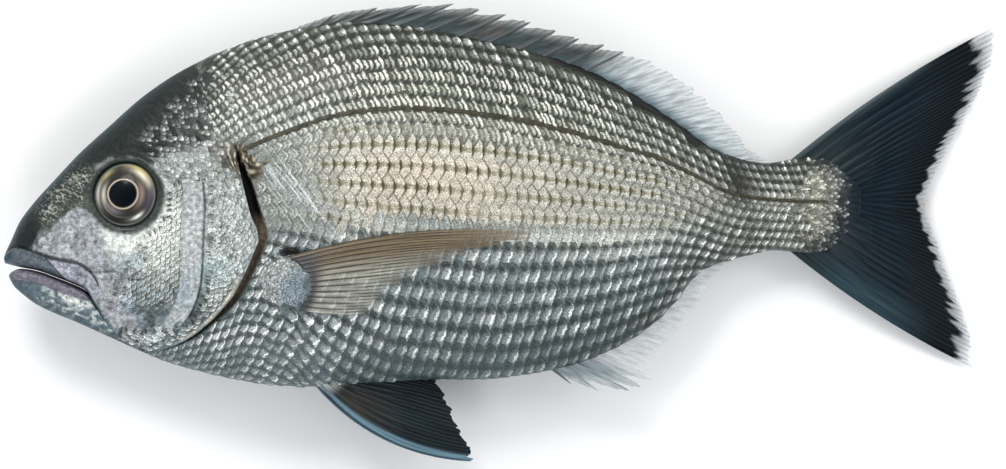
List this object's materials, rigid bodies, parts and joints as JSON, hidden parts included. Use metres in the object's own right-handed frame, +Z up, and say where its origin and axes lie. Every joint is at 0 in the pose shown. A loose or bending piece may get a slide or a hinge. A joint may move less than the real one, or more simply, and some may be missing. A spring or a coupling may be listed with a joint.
{
  "type": "whole raw fish",
  "caption": "Whole raw sea bream lying on its side, with a deep scaled body, spiny back fin, forked tail, gill cover and glossy eyes.",
  "frame": {"origin": "on the table, under the middle of the lying fish's box", "axes": "+X from the snout to the tail, +Y from the belly to the back, +Z up through the flank that shows"},
  "size_m": [0.3, 0.1392, 0.0393],
  "materials": {
    "skin": "wet satin skin, dark on the back and silver on the flank",
    "scales": "wet pearly scales with dark rims",
    "fin": "wet membrane stretched over darker rays",
    "eye": "wet gloss with a silver-brown iris and a black pupil",
    "spine": "hard smooth fin spines"
  },
  "bodies": {
    "root": {"fish": "skin", "eye_left": "eye", "eye_right": "eye"}
  },
  "joints": []
}
